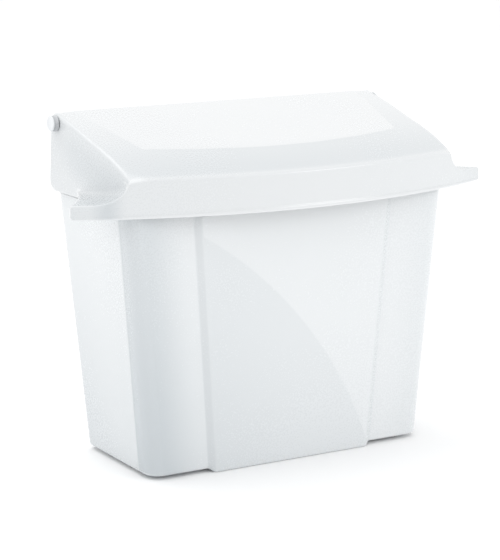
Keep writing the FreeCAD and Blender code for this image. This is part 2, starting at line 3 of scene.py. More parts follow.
import bmesh
import bpy
import numpy as np
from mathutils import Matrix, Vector


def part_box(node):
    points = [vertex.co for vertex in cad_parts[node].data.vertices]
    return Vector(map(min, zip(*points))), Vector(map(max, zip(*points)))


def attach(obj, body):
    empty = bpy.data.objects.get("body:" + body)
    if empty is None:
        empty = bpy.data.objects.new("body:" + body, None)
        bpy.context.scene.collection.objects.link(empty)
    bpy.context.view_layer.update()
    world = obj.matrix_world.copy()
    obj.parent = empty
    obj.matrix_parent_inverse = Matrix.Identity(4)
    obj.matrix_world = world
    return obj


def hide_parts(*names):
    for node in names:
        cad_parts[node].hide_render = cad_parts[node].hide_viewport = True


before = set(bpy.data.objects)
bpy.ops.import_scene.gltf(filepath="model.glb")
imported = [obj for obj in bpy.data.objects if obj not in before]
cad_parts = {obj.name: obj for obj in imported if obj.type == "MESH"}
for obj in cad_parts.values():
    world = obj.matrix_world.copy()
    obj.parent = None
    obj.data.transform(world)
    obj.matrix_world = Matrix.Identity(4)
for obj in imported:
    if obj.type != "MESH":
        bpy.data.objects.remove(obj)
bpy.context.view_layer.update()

print("frame loaded:", sorted(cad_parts))

# Sizes are in millimetres and become metres when a mesh is made; places in the painted-shade tables are
# metres.
mm = 0.001
pinLow, pinHigh = (np.array(corner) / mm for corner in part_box("hinge_pin_right"))
pinY = (pinLow[1] + pinHigh[1]) / 2
pinZ = (pinLow[2] + pinHigh[2]) / 2


# ---- camera and studio

camera = {
    "azimuth": -30.529, "elevation": 12.046, "target": (0.0, 0.0159, 0.1287),
    "distance": 1.5031, "aside": -0.00183, "above": -0.00766, "lens": 133.22,
}


def makeCamera():
    azimuth, elevation = math.radians(camera["azimuth"]), math.radians(camera["elevation"])
    back = Vector((math.sin(azimuth) * math.cos(elevation),
                   -math.cos(azimuth) * math.cos(elevation), math.sin(elevation)))
    right = Vector((math.cos(azimuth), math.sin(azimuth), 0))
    up = back.cross(right)
    data = bpy.data.cameras.new("camera")
    data.lens = camera["lens"]
    data.sensor_width = 36
    data.clip_end = 50
    thing = bpy.data.objects.new("camera", data)
    bpy.context.scene.collection.objects.link(thing)
    thing.location = (Vector(camera["target"]) + back * camera["distance"]
                      + right * camera["aside"] + up * camera["above"])
    thing.rotation_euler = back.to_track_quat("Z", "Y").to_euler()
    bpy.context.scene.camera = thing


studio = {
    "world": 1.03,
    "floor": (0.97, 0.972, 0.975), "floorMottle": (0.955, 0.957, 0.96), "floorReach": 12,
    "lamps": [  # name, place, aim, size, watts
        ("topLamp", (-0.5, 1.0, 2.6), (0, 0, 0.15), 2.2, 16),
        ("leftLamp", (-2.4, 0.2, 1.3), (0, 0, 0.15), 1.6, 6.5),
        ("rightLamp", (1.8, -2.4, 1.3), (0, 0, 0.12), 1.4, 17),
    ],
}


def makeStudio():
    scene = bpy.context.scene
    scene.view_settings.view_transform = "Standard"
    scene.view_settings.look = "None"
    world = bpy.data.worlds.new("studioWorld")
    world.use_nodes = True
    world.node_tree.nodes["Background"].inputs["Color"].default_value = (1, 1, 1, 1)
    world.node_tree.nodes["Background"].inputs["Strength"].default_value = studio["world"]
    scene.world = world
    for name, place, aim, width, watts in studio["lamps"]:
        data = bpy.data.lights.new(name, "AREA")
        data.shape = "DISK"
        data.size = width
        data.energy = watts
        lamp = bpy.data.objects.new(name, data)
        scene.collection.objects.link(lamp)
        lamp.location = place
        lamp.rotation_euler = (Vector(place) - Vector(aim)).to_track_quat("Z", "Y").to_euler()
    mesh = bpy.data.meshes.new("studioFloor")
    reach = studio["floorReach"]
    mesh.from_pydata([(-reach, -reach, 0), (reach, -reach, 0), (reach, reach, 0), (-reach, reach, 0)],
                     [], [(0, 1, 2, 3)])
    floor = bpy.data.objects.new("studioFloor", mesh)
    scene.collection.objects.link(floor)
    floor.data.materials.append(paintFloor())


# ---- materials

class Wire:
    def __init__(self, tree, socket=None):
        self.tree = tree
        self.socket = socket

    def add(self, kind, settings=None, values=None, out=0):
        node = self.tree.nodes.new(kind)
        for name, value in (settings or {}).items():
            if name == "stops":
                ramp = node.color_ramp
                while len(ramp.elements) < len(value):
                    ramp.elements.new(0.5)
                for element, (place, shade) in zip(ramp.elements, value):
                    element.position = place
                    element.color = (shade, shade, shade, 1)
            else:
                setattr(node, name, value)
        for key, value in (values or {}).items():
            if isinstance(value, Wire):
                self.tree.links.new(value.socket, node.inputs[key])
            else:
                node.inputs[key].default_value = value
        return Wire(self.tree, node.outputs[out])

    def calc(self, operation, first, second=0.0, clamp=False):
        settings = {"operation": operation, "use_clamp": clamp}
        return self.add("ShaderNodeMath", settings, {0: first, 1: second})

    def __add__(self, other):
        return self.calc("ADD", self, other)

    def __sub__(self, other):
        return self.calc("SUBTRACT", self, other)

    def __rsub__(self, other):
        return self.calc("SUBTRACT", other, self)

    def __mul__(self, other):
        return self.calc("MULTIPLY", self, other)

    def __abs__(self):
        return self.calc("ABSOLUTE", self)

    __radd__ = __add__
    __rmul__ = __mul__

    def step(self, low, high):
        settings = {"interpolation_type": "SMOOTHSTEP"}
        return self.add("ShaderNodeMapRange", settings, {"Value": self, "From Min": low, "From Max": high})

    def blend(self, one, two):
        return self.add("ShaderNodeMix", {"data_type": "RGBA"}, {0: self, 6: one, 7: two}, out=2)


def newMaterial(name):
    material = bpy.data.materials.new(name)
    material.use_nodes = True
    tree = material.node_tree
    return material, tree, tree.nodes["Principled BSDF"]


def surfaceOf(tree):
    start = Wire(tree)
    place = start.add("ShaderNodeTexCoord", out=3)
    axes = [start.add("ShaderNodeSeparateXYZ", values={0: place}, out=k) for k in range(3)]
    return start, place, axes


def noise(start, place, scale, detail=3.0):
    return start.add("ShaderNodeTexNoise", values={"Vector": place, "Scale": scale, "Detail": detail})


def finish(shader, start, look, colour, roughness, height):
    links = start.tree.links
    links.new(colour.socket, shader.inputs["Base Color"])
    links.new(roughness.socket, shader.inputs["Roughness"])
    bump = start.add("ShaderNodeBump", values={"Strength": look["bump"], "Distance": look["grainDepth"],
                                              "Height": height})
    links.new(bump.socket, shader.inputs["Normal"])
    shader.inputs["Coat Weight"].default_value = look["coat"]
    shader.inputs["Coat Roughness"].default_value = plastic["coatRoughness"]
    shader.inputs["IOR"].default_value = plastic["ior"]
    shader.inputs["Metallic"].default_value = look.get("metal", 0.0)


plastic = {
    "wearFrom": 0.505, "wearTo": 0.56, "driftFrom": 0.3, "driftTo": 0.7, "speckFrom": 0.62, "speckTo": 0.8,
    "driftRough": 0.06, "grainRough": 0.05, "wearGloss": 0.05, "roughMean": 0.055, "coatRoughness": 0.12,
    "ior": 1.5,
}


def plainPlastic(name, look, shade=None):
    # Moulded plastic: slow tone drift, a fine tool grain, brighter rubbed edges, and painted shade where a
    # mask is given.
    material, tree, shader = newMaterial(name)
    start, place, axes = surfaceOf(tree)
    drift = noise(start, place, look["driftScale"])
    grain = noise(start, place, look["grainScale"], 2.0)
    edge = start.add("ShaderNodeNewGeometry", out=7).step(plastic["wearFrom"], plastic["wearTo"])
    base = drift.step(plastic["driftFrom"], plastic["driftTo"]).blend((*look["tone"], 1), (*look["drift"], 1))
    # Painted shade and painted reflection from the piece's mask, mixed towards its shade colour.
    if shade is not None:
        base = shade(start, axes).blend(base, (*look["shade"], 1))
    base = (edge * look["edgeShare"]).blend(base, (*look["edge"], 1))
    specks = grain.step(plastic["speckFrom"], plastic["speckTo"]) * look["speck"]
    speck = specks.blend(base, (*look["drift"], 1))
    uneven = drift * plastic["driftRough"] + grain * plastic["grainRough"]
    roughness = uneven + (look["roughness"] - plastic["roughMean"]) - edge * plastic["wearGloss"]
    finish(shader, start, look, speck, roughness, grain)
    return material


# Each look's shade colour is the darkest tone its painted shade mixes towards.
whiteLook = {
    "tone": (0.715, 0.735, 0.745), "drift": (0.700, 0.722, 0.734), "shade": (0.440, 0.480, 0.505),
    "edge": (0.80, 0.81, 0.82), "edgeShare": 0.5, "driftScale": 7.0, "grainScale": 900.0,
    "speck": 0.08, "bump": 0.012, "grainDepth": 0.0004, "roughness": 0.27, "coat": 0.25,
}
# The lid's copy of the white plastic is a little darker: painted shade.
lidLook = dict(whiteLook, tone=(0.693, 0.706, 0.713), drift=(0.678, 0.694, 0.703))
pinLook = dict(whiteLook, tone=(0.74, 0.76, 0.77), drift=(0.71, 0.73, 0.75), shade=(0.26, 0.28, 0.30),
               roughness=0.36, coat=0.1, driftScale=60.0)
linerLook = dict(whiteLook, tone=(0.56, 0.58, 0.59), drift=(0.52, 0.54, 0.55), roughness=0.5, coat=0.0,
                 grainScale=700.0, bump=0.05)
steelLook = dict(whiteLook, tone=(0.55, 0.56, 0.57), drift=(0.48, 0.49, 0.50), edge=(0.8, 0.8, 0.8),
                 roughness=0.33, coat=0.0, metal=1.0, driftScale=200.0, bump=0.05)
rubberLook = dict(whiteLook, tone=(0.10, 0.105, 0.11), drift=(0.08, 0.085, 0.09), edge=(0.2, 0.2, 0.2),
                  roughness=0.75, coat=0.0, driftScale=120.0, bump=0.12)


def paintFloor():
    material, tree, shader = newMaterial("paleFloor")
    start, place, axes = surfaceOf(tree)
    mottle = noise(start, place, 3.0)
    tone = mottle.blend((*studio["floor"], 1), (*studio["floorMottle"], 1))
    tree.links.new(tone.socket, shader.inputs["Base Color"])
    shader.inputs["Roughness"].default_value = 0.9
    shader.inputs["Specular IOR Level"].default_value = 0.1
    return material


# ---- mesh helpers

def putObject(name, mesh, material, sharp=32):
    thing = bpy.data.objects.new(name, mesh)
    bpy.context.scene.collection.objects.link(thing)
    mesh.materials.clear()
    mesh.materials.append(material)
    for face in mesh.polygons:
        face.use_smooth = True
    mesh.set_sharp_from_angle(angle=math.radians(sharp))
    return thing


def meshOf(name, points, faces):
    mesh = bpy.data.meshes.new(name)
    mesh.from_pydata([tuple(float(v) * mm for v in p) for p in points], [], faces)
    work = bmesh.new()
    work.from_mesh(mesh)
    bmesh.ops.remove_doubles(work, verts=work.verts, dist=2e-6)
    bmesh.ops.dissolve_degenerate(work, edges=work.edges, dist=1e-6)
    bmesh.ops.recalc_face_normals(work, faces=work.faces)
    work.to_mesh(mesh)
    work.free()
    mesh.validate()
    return mesh


def ringStack(rings):
    # Closed rings with equal counts, joined one above the next; the ends are fans.
    count = len(rings[0])
    points = [p for ring in rings for p in ring]
    faces = []
    for level in range(len(rings) - 1):
        for k in range(count):
            after = (k + 1) % count
            faces.append((level * count + k, level * count + after,
                          (level + 1) * count + after, (level + 1) * count + k))
    for level in (0, len(rings) - 1):
        middle = np.mean(np.array(rings[level], float), axis=0)
        points.append(middle)
        hub = len(points) - 1
        for k in range(count):
            faces.append((level * count + k, level * count + (k + 1) % count, hub))
    return points, faces


def joinShells(shells):
    points, faces = [], []
    for shellPoints, shellFaces in shells:
        start = len(points)
        points.extend(shellPoints)
        faces.extend(tuple(k + start for k in face) for face in shellFaces)
    return points, faces


def bevelled(thing, width, segments=2, angle=40):
    edge = thing.modifiers.new("edge", "BEVEL")
    edge.width = width * mm
    edge.segments = segments
    edge.limit_method = "ANGLE"
    edge.angle_limit = math.radians(angle)
    edge.use_clamp_overlap = True
    edge.miter_outer = "MITER_ARC"
    return bake(thing)


def bake(thing):
    # Swaps the object's mesh for its finished one, so that no modifier stays live.
    graph = bpy.context.evaluated_depsgraph_get()
    mesh = bpy.data.meshes.new_from_object(thing.evaluated_get(graph))
    thing.modifiers.clear()
    old = thing.data
    thing.data = mesh
    mesh.name = old.name
    bpy.data.meshes.remove(old)
    return thing


def cornerArc(centre, radius, start, count):
    turns = [math.radians(start + 90 * k / count) for k in range(count + 1)]
    return [(centre[0] + radius * math.cos(t), centre[1] + radius * math.sin(t)) for t in turns]


def lathe(profile, count=64):
    # profile: (distance along X, radius); turned about the hinge axis.
    rings = []
    for along, radius in profile:
        turns = [2 * math.pi * k / count for k in range(count)]
        rings.append([(along, pinY + radius * math.cos(t), pinZ + radius * math.sin(t)) for t in turns])
    return ringStack(rings)


def softRamp(t, ease=0.2):
    t = min(max(t, 0.0), 1.0)
    slope = 1 / (1 - ease)
    if t < ease:
        return slope * t * t / (2 * ease)
    if t > 1 - ease:
        return 1 - slope * (1 - t) ** 2 / (2 * ease)
    return slope * (t - ease / 2)


def mix(one, two, share):
    return one + (two - one) * share


# ---- the tub

tub = {
    "baseZ": 2.7, "shoulderZ": 190.0,
    "halfBase": 112.89, "halfTop": 129.30, "frontBase": -37.90, "frontTop": -42.40,
    "backBase": 61.50, "backTop": 69.90, "cornerRadius": 11.7, "backRadius": 6.0,
    "panelBase": 67.7, "panelTop": 81.4, "panelBevel": 5.6, "panelRaise": 3.0,
    "footDepth": 12.0, "baseRound": 2.0, "shoulderRound": 1.4,
    "collarHalf": 126.30, "collarFront": -39.40, "collarWall": 2.4, "collarRadius": 8.7,
    "rimFrontY": -40.4, "rimFrontZ": 209.1, "rimSlope": 0.3047, "rimBackZ": 231.8, "earRadius": 3.7,
    "wall": 2.6, "screwX": 80.2, "screwLowZ": 66.6, "screwHighZ": 204.8, "screwRadius": 2.75,
    "padRadius": 8.0, "pinBore": 2.06,
    "collarBackRadius": 5.2, "leastRadius": 0.4, "earReach": 8.1,
    "earSteps": (0, 0.6, 0.66, 0.9, 1.4, 2.0, 2.8, 3.7, 4.6, 5.5, 6.4, 7.2, 7.7, 7.95, 8.0),
    "wallLevels": (5.0, 5.6, 6.4, 7.4, 8.6, 10.2, 12.5, 20, 45, 80, 110, 140, 165, 180, 184,
                   185.5, 186.5, 187.2, 187.7, 188.2),
    "fadeZ": 184.0, "fadeTall": 4.0,
    "innerLevels": ((100, 0), (20, 0), (10, 0.2), (7, 1.0), (5.6, 2.6), (5.3, 4.6)),
    "footX": 47.1, "footHalf": 15, "footFrontY": 41.5, "footBackY": 53.5, "footTopZ": 3.6, "footRadius": 2.5,
    "padFrontY": 62.5, "padBackY": 69.88, "screwFrontY": 55, "screwBackY": 75,
    "boreNear": 122.0, "boreFar": 128.0,
    "padRelief": 0.45, "padStart": 18.4, "padCorner": 8.0, "padCornerZ": 12.5,
}


# Strengths and places of the tub's painted shade and painted reflection.
tubPaintedShade = {
    "foot": 0.34, "footFade": 0.20, "corner": 0.50, "cornerFrom": -0.045, "cornerTo": -0.006,
    "bevel": 0.19, "paintedReflection": 0.17, "paintedReflectionX": -0.239, "paintedReflectionZ": -0.1075, "paintedReflectionRadius": 0.3225, "rear": 0.10,
    "rightShare": 0.25, "highShare": 0.94, "soft": 0.0006, "rightward": (-0.12, 0.03),
    "middle": (-0.01, 0.01), "cornerBack": (0.0, 0.01), "frontDepth": (0.002, 0.006), "rearward": (0.0, 0.07),
}


def tubShade(start, axes):
    # Painted shade: greyer to the foot, on the panel's bevels, at the front corners and to the back; a
    # painted reflection's soft arc.
    x, y, z = axes
    soft, tone = tubPaintedShade["soft"], tubPaintedShade
    tall = (tub["shoulderZ"] - tub["baseZ"]) * mm
    share = (z - tub["baseZ"] * mm) * (1 / tall)
    ahead = y - tub["frontBase"] * mm + share * (tub["frontBase"] - tub["frontTop"]) * mm
    aside = share * (tub["halfTop"] - tub["halfBase"]) * mm + tub["halfBase"] * mm - abs(x)
    panelEdge = share * (tub["panelTop"] - tub["panelBase"]) * mm + tub["panelBase"] * mm - abs(x)
    along = ahead - aside
    # Painted shade, darker towards the foot and on the left.
    low = 1.0 - z.step(0.0, tone["footFade"])
    leftward = 1.0 - x.step(*tone["rightward"])
    # Painted shade down the front corners, strongest on the left.
    padEdge = tub["padStart"] * mm
    corner = along.step(tone["cornerFrom"], tone["cornerTo"])
    corner = corner * (1.0 - along.step(padEdge - 2 * soft, padEdge + soft))
    corner = corner * (1.0 - y.step(*tone["cornerBack"]))
    corner = corner * (low * (1 - tone["highShare"]) + tone["highShare"])
    onLeft = (0.0 - x).step(*tone["middle"]) * (1 - tone["rightShare"]) + tone["rightShare"]
    front = 1.0 - ahead.step(*tone["frontDepth"])
    # Painted shade on the panel's bevels.
    flat = panelEdge.step(tub["panelBevel"] * mm - soft, tub["panelBevel"] * mm + soft)
    bevel = panelEdge.step(-soft, soft) * (1.0 - flat) * front
    # Painted reflection: the panel's flat is darker inside a wide soft arc.
    fromX, fromZ = x - tone["paintedReflectionX"], z - tone["paintedReflectionZ"]
    radius = start.calc("SQRT", fromX * fromX + fromZ * fromZ)
    paintedReflection = (1.0 - radius.step(tone["paintedReflectionRadius"] - 0.001, tone["paintedReflectionRadius"] + 0.001)) * flat * front
    # All summed, with a little more painted shade towards the back.
    shade = low * leftward * tone["foot"] + corner * onLeft * tone["corner"]
    return shade + bevel * tone["bevel"] + paintedReflection * tone["paintedReflection"] + y.step(*tone["rearward"]) * tone["rear"]


def tubLevel(z):
    # The tub's plan at one height, from its draft.
    share = (z - tub["baseZ"]) / (tub["shoulderZ"] - tub["baseZ"])
    return {
        "half": mix(tub["halfBase"], tub["halfTop"], share),
        "front": mix(tub["frontBase"], tub["frontTop"], share),
        "back": mix(tub["backBase"], tub["backTop"], share),
        "frontRadius": tub["cornerRadius"], "backRadius": tub["backRadius"],
        "panel": mix(tub["panelBase"], tub["panelTop"], share),
    }


def panelDepth(x, level):
    # How far across the panel's bevel a place is: 0 outside it, 1 on its flat.
    inside = (level["panel"] - abs(x)) / tub["panelBevel"]
    return softRamp(inside)


def levelRing(level, inset=0.0, raised=0.0, relief=0.0, padStart=tub["padStart"]):
    # One level of a rounded box, front middle first, going round to the left.
    half, front, back = level["half"] - inset, level["front"] + inset, level["back"] - inset
    frontRadius = max(level["frontRadius"] - inset, tub["leastRadius"])
    backRadius = max(level["backRadius"] - inset, tub["leastRadius"])
    right = [(x, front - d) for x, d in frontRun(level, half - frontRadius, raised)]
    arc = cornerArc((half - frontRadius, front + frontRadius), frontRadius, -90, 8)[1:]
    right += [(x - relief * (k + 1) / len(arc), y) for k, (x, y) in enumerate(arc)]
    padY = level["front"] + padStart
    for y in sideRun(front + frontRadius, padY, back - backRadius):
        right.append((half - relief * (1 - softRamp((y - padY + 0.7) / 1.4)), y))
    right += cornerArc((half - backRadius, back - backRadius), backRadius, 0, 8)
    right += [((half - backRadius) * (1 - k / 20), back) for k in range(1, 21)]
    left = [(-x, y) for x, y in right[1:-1]]
    return right + left[::-1]


def frontRun(level, flat, raised):
    # Distances across the front, close together at the panel's bevel, each with its height.
    panel, bevel = level["panel"], tub["panelBevel"]
    side = list(np.linspace(0, panel - bevel - 12, 10)) + [panel - bevel - 3, panel - bevel - 0.6]
    side += [panel - bevel + bevel * k / 8 for k in range(9)] + [panel + 0.6, panel + 3]
    side += list(np.linspace(panel + 8, flat, 6))
    return [(x, raised * panelDepth(x, level)) for x in side]


def sideRun(start, padY, end):
    # Places along a side, close together at the pad's edge and round the hinge ear.
    earFoot = end - tub["earReach"]
    places = [mix(start, padY - 1.0, k / 3) for k in (1, 2, 3)] + [padY + 0.5 * k for k in (-1, 0, 1, 2)]
    places += [mix(padY + 1.5, earFoot, k / 12) for k in range(12)]
    return places + [earFoot + step for step in tub["earSteps"]]


def rimHeight(y):
    # The collar's top edge: a slope over the front and sides, an ear at each hinge, a low back.
    slope = tub["rimFrontZ"] + tub["rimSlope"] * (y - tub["rimFrontY"])
    away = y - pinY
    if away > tub["earRadius"] + 0.02:
        return tub["rimBackZ"]
    if away < -tub["earRadius"] - 0.02:
        return slope
    arch = math.sqrt(max(tub["earRadius"] ** 2 - away ** 2, 0.0))
    return pinZ + arch - 0.02


def collarLevel():
    return {"half": tub["collarHalf"], "front": tub["collarFront"], "back": tub["backTop"],
            "frontRadius": tub["collarRadius"], "backRadius": tub["collarBackRadius"],
            "panel": tub["panelTop"]}


def footRings():
    # The underside, with the panel's foot reaching down to the floor, and the round base edge.
    base, depth, rounding = tub["baseZ"], tub["footDepth"], tub["baseRound"]
    lowest = tubLevel(base)

    def baseRing(inset, lift, drop=1.0):
        made = []
        for x, y in levelRing(lowest, inset, tub["panelRaise"]):
            foot = base * panelDepth(x, lowest) if y < 0 else 0.0
            made.append((x, y, base + lift - drop * foot))
        return made

    flat = [(x, y, base) for x, y in levelRing(lowest, depth + 0.4)]
    middle = [(x * 0.5, y * 0.5 + 6, base) for x, y, z in flat]
    rings = [middle, flat]
    rings += [baseRing(depth + 0.2, 0.0, 0.0), baseRing(depth, 0.0, 0.9), baseRing(depth - 0.6, 0.0)]
    for k in range(7):
        turn = math.radians(15 * k)
        rings.append(baseRing(rounding * (1 - math.sin(turn)), rounding * (1 - math.cos(turn))))
    return rings


def wallRings():
    # The drafted wall; the panel and the side pads fade out just under the shoulder.
    rings = []
    corner = tub["padCorner"]
    for z in tub["wallLevels"]:
        left = 1 - softRamp((z - tub["fadeZ"]) / tub["fadeTall"])
        drop = max(tub["padCornerZ"] - z, 0.0)
        start = tub["padStart"] + corner - math.sqrt(max(corner ** 2 - drop ** 2, 0.0))
        ring = levelRing(tubLevel(z), 0, tub["panelRaise"] * left, tub["padRelief"] * left, start)
        rings.append([(x, y, z) for x, y in ring])
    return rings


def shoulderRings():
    # A small round that stays flush with the wall at the back.
    shoulder, rounding = tubLevel(tub["shoulderZ"]), tub["shoulderRound"]
    rings = []
    for k in range(5):
        turn = math.radians(22.5 * k)
        inset = rounding * (1 - math.cos(turn))
        z = tub["shoulderZ"] - rounding * (1 - math.sin(turn))
        flush = shoulder["back"] - inset - 0.01
        ring = levelRing(shoulder, inset)
        rings.append([(x, y if y <= flush else tub["backTop"] - 0.001, z) for x, y in ring])
    return rings


def collarRings():
    top, collar, half = tub["shoulderZ"], collarLevel(), tub["collarWall"] / 2
    rings = []
    for z, inset in ((top, -0.5), (top + 0.4, 0), (top + 8, 0)):
        rings.append([(x, min(y, tub["backTop"]), z) for x, y in levelRing(collar, inset)])
    for k in range(9):
        turn = math.radians(22.5 * k)
        ring = levelRing(collar, half * (1 - math.cos(turn)))
        rings.append([(x, y, rimHeight(y) - half + half * math.sin(turn)) for x, y in ring])
    under = top - tub["wall"]
    inside = levelRing(collar, tub["collarWall"])
    return rings + [[(x, y, z) for x, y in inside] for z in (top + 8, under + 0.6, under)]


def insideRings():
    under = tub["shoulderZ"] - tub["wall"]
    rings = []
    for z, extra in ((under, 0), (under - 0.5, 0), *tub["innerLevels"]):
        rings.append([(x, y, z) for x, y in levelRing(tubLevel(z), tub["wall"] + extra)])
    return rings


def backFeet():
    feet = []
    for side in (-1, 1):
        middle = side * tub["footX"]
        low = (middle - tub["footHalf"], tub["footFrontY"], 0)
        high = (middle + tub["footHalf"], tub["footBackY"], tub["footTopZ"])
        feet.append(roundedBlock(low, high, tub["footRadius"]))
    return feet


def makeTub(material):
    body = ringStack(footRings() + wallRings() + shoulderRings() + collarRings() + insideRings())
    thing = putObject("tub_shell", meshOf("tubShell", *joinShells([body] + backFeet())), material)
    drill(thing)
    for face in thing.data.polygons:
        face.use_smooth = True
    thing.data.set_sharp_from_angle(angle=math.radians(30))
    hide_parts("bin_body")
    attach(thing, "bin")


def roundedBlock(low, high, radius):
    # An upright block with round plan corners and eased ends.
    middle = ((low[0] + high[0]) / 2, (low[1] + high[1]) / 2)

    def ring(inset, z):
        made = []
        size = (high[0] - low[0]) / 2 - inset, (high[1] - low[1]) / 2 - inset
        rounding = max(radius - inset, 0.2)
        for quarter, (sx, sy) in enumerate(((1, 1), (-1, 1), (-1, -1), (1, -1))):
            centre = (middle[0] + sx * (size[0] - rounding), middle[1] + sy * (size[1] - rounding))
            made += [(x, y, z) for x, y in cornerArc(centre, rounding, 90 * quarter, 5)]
        return made

    rings = [ring(0.5, low[2]), ring(0.12, low[2] + 0.12), ring(0.0, low[2] + 0.5)]
    rings += [ring(0.0, high[2] - 0.5), ring(0.12, high[2] - 0.12), ring(0.5, high[2])]
    return ringStack(rings)


def cylinderAlong(axis, centre, radius, low, high, count=40):
    rings = []
    for level in (low, high):
        ring = []
        for k in range(count):
            turn = 2 * math.pi * k / count
            one, two = radius * math.cos(turn), radius * math.sin(turn)
            if axis == "y":
                ring.append((centre[0] + one, level, centre[1] + two))
            else:
                ring.append((level, centre[0] + one, centre[1] + two))
        rings.append(ring)
    return ringStack(rings)


def drill(thing):
    # The two low screw pads, the four screw holes and the hinge bores.
    pads, holes = [], []
    for side in (-1, 1):
        x = side * tub["screwX"]
        seat = (x, tub["screwLowZ"])
        pads.append(cylinderAlong("y", seat, tub["padRadius"], tub["padFrontY"], tub["padBackY"]))
        for z in (tub["screwLowZ"], tub["screwHighZ"]):
            hole = cylinderAlong("y", (x, z), tub["screwRadius"], tub["screwFrontY"], tub["screwBackY"])
            holes.append(hole)
        low, high = sorted((side * tub["boreNear"], side * tub["boreFar"]))
        holes.append(cylinderAlong("x", (pinY, pinZ), tub["pinBore"], low, high, 28))
    for name, shells, operation in (("pads", pads, "UNION"), ("holes", holes, "DIFFERENCE")):
        tool = bpy.data.objects.new(name, meshOf(name, *joinShells(shells)))
        bpy.context.scene.collection.objects.link(tool)
        step = thing.modifiers.new(name, "BOOLEAN")
        step.operation = operation
        step.solver = "EXACT"
        step.object = tool
        bake(thing)
        bpy.data.objects.remove(tool)


# ---- the lid

lid = {
    "radius": 376.51, "centreY": 306.61, "faceInset": 0.6, "wall": 2.2, "edgeRoll": 1.3,
    "sideRound": 2.6, "edgeZ": 213.79, "rise": 32.91, "bulge": 2.6, "backY": 64.9,
    "frontHalf": 131.54, "rearTop": 132.61, "rearFlare": 135.28, "cheekFrontY": -45.2,
    "wingHalf": 167.1, "wingZ": 197.09, "rootY": 26.56, "rootZ": 195.0, "bottomZ": 187.39,
    "cheekBottomZ": 191.5, "cheekCorner": 8.0, "cheekBackY": 69.2, "pinArc": 8.3,
    "coveEnd": 80.0, "coveStretch": 1.56, "skew": 13.5, "beadHeight": 3.2, "tipCorner": 2.0,
    "wallY": 69.9, "flareLowZ": 189.0, "flareTall": 62.7, "rootX": 133.2, "noseY": -44.5, "sheetSlope": 1.04,
    "bossProfile": ((126.7, 5.1), (126.8, 5.5), (127.1, 5.6), (131.6, 5.6)),
    "lipFrontY": -43.5, "lipTall": 3.4, "sideX": 131.5, "flareTopZ": 240.0, "earRows": 28,
    "reliefDepth": 0.5, "skirtShares": (0.12, 0.3, 0.5, 0.7, 0.86), "skirtReach": 0.9,
    "beadShape": ((1.25, 0), (1.0, 0.05), (0.86, 0.45), (0.7, 0.9), (0.5, 1.0), (0.25, 1.0), (0.1, 0.8),
                  (0.0, 0.45)),
    "panelFrontHalf": 99.8, "panelSpread": 0.205, "panelFront": -30.8, "panelCurve": 0.0017,
    "panelCorner": 9.0, "panelEdge": 1.8, "reliefFade": 0.06, "noseDrop": 2.2, "noseShare": 0.07,
    "noseFromX": 112, "noseSpan": 19, "coveEase": 0.85, "coveRoom": 0.85, "beadThin": 0.55, "beadFlat": 0.6,
}


# Strengths and places of the lid's painted shade and painted highlight.
lidPaintedShade = {
    "frameShadeFront": 0.40, "frameShadeRear": 0.05, "cheek": 0.22,
    "hollow": 0.26, "hollowZ": 0.2105, "hollowSlope": 0.25,
    "skirt": 0.14, "skirtEnd": 0.10, "band": 0.42, "bandX": -0.1445, "bandHalf": 0.013, "soft": 0.0008,
    "topLow": (0.2125, 0.2160), "topSide": (0.1285, 0.1305), "rearward": (-0.075, 0.06),
    "skirtDepth": (0.0012, 0.0022), "hollowHalf": (0.003, 0.022), "hollowRear": (0.025, 0.066),
    "cheekSide": (0.1290, 0.1308), "endSide": (0.135, 0.165),
}


def lidShade(start, axes):
    # Painted shade round the top's panel, leaving it as a painted highlight, in the cheeks' soft hollow and
    # over the skirt.
    x, y, z = axes
    wide, soft, tone = abs(x), lidPaintedShade["soft"], lidPaintedShade
    # Outside its panel the top is painted darker, most towards the front; the panel stays light as a painted
    # highlight.
    ahead = y - lid["panelFront"] * mm
    frontEdge = ahead - x * x * (lid["panelCurve"] / mm)
    sideEdge = ahead * lid["panelSpread"] + lid["panelFrontHalf"] * mm - wide
    inside = frontEdge.step(-soft, soft) * sideEdge.step(-soft, soft)
    top = z.step(*tone["topLow"]) * (1.0 - wide.step(*tone["topSide"]))
    forward = (1.0 - y.step(*tone["rearward"])) * tone["frameShadeFront"] + tone["frameShadeRear"]
    ring = (1.0 - inside) * top * forward
    # Painted shade on the skirt's face, with a dark band on the left and darker ends.
    face = (lid["radius"] - lid["faceInset"]) * mm
    fromArc = y - lid["centreY"] * mm + start.calc("SQRT", face * face - x * x)
    onSkirt = 1.0 - fromArc.step(*tone["skirtDepth"])
    # Painted shade in the cheeks' soft hollow and over the whole cheek.
    hollow = 1.0 - abs(z - tone["hollowZ"] - y * tone["hollowSlope"]).step(*tone["hollowHalf"])
    hollow = hollow * (1.0 - y.step(*tone["hollowRear"])) * tone["hollow"]
    cheek = wide.step(*tone["cheekSide"]) * (1.0 - onSkirt) * (hollow + tone["cheek"])
    band = (1.0 - abs(x - tone["bandX"]).step(0.0, tone["bandHalf"])) * tone["band"]
    end = wide.step(*tone["endSide"]) * tone["skirtEnd"]
    return ring + cheek + onSkirt * (band + tone["skirt"] + end)


def arcY(x, radius):
    return lid["centreY"] - math.sqrt(radius ** 2 - x ** 2)


def lidRelief(x, y):
    # Distance inside the panel's outline, turned into the frame's small drop.
    ahead = y - lid["panelFront"] - lid["panelCurve"] * x * x
    aside = lid["panelFrontHalf"] + lid["panelSpread"] * (y - lid["panelFront"]) - abs(x)
    corner = lid["panelCorner"]
    if ahead < corner and aside < corner:
        inside = corner - math.hypot(corner - ahead, corner - aside)
    else:
        inside = min(ahead, aside)
    return lid["reliefDepth"] * (1 - softRamp(inside / lid["panelEdge"] + 0.5, 0.4))


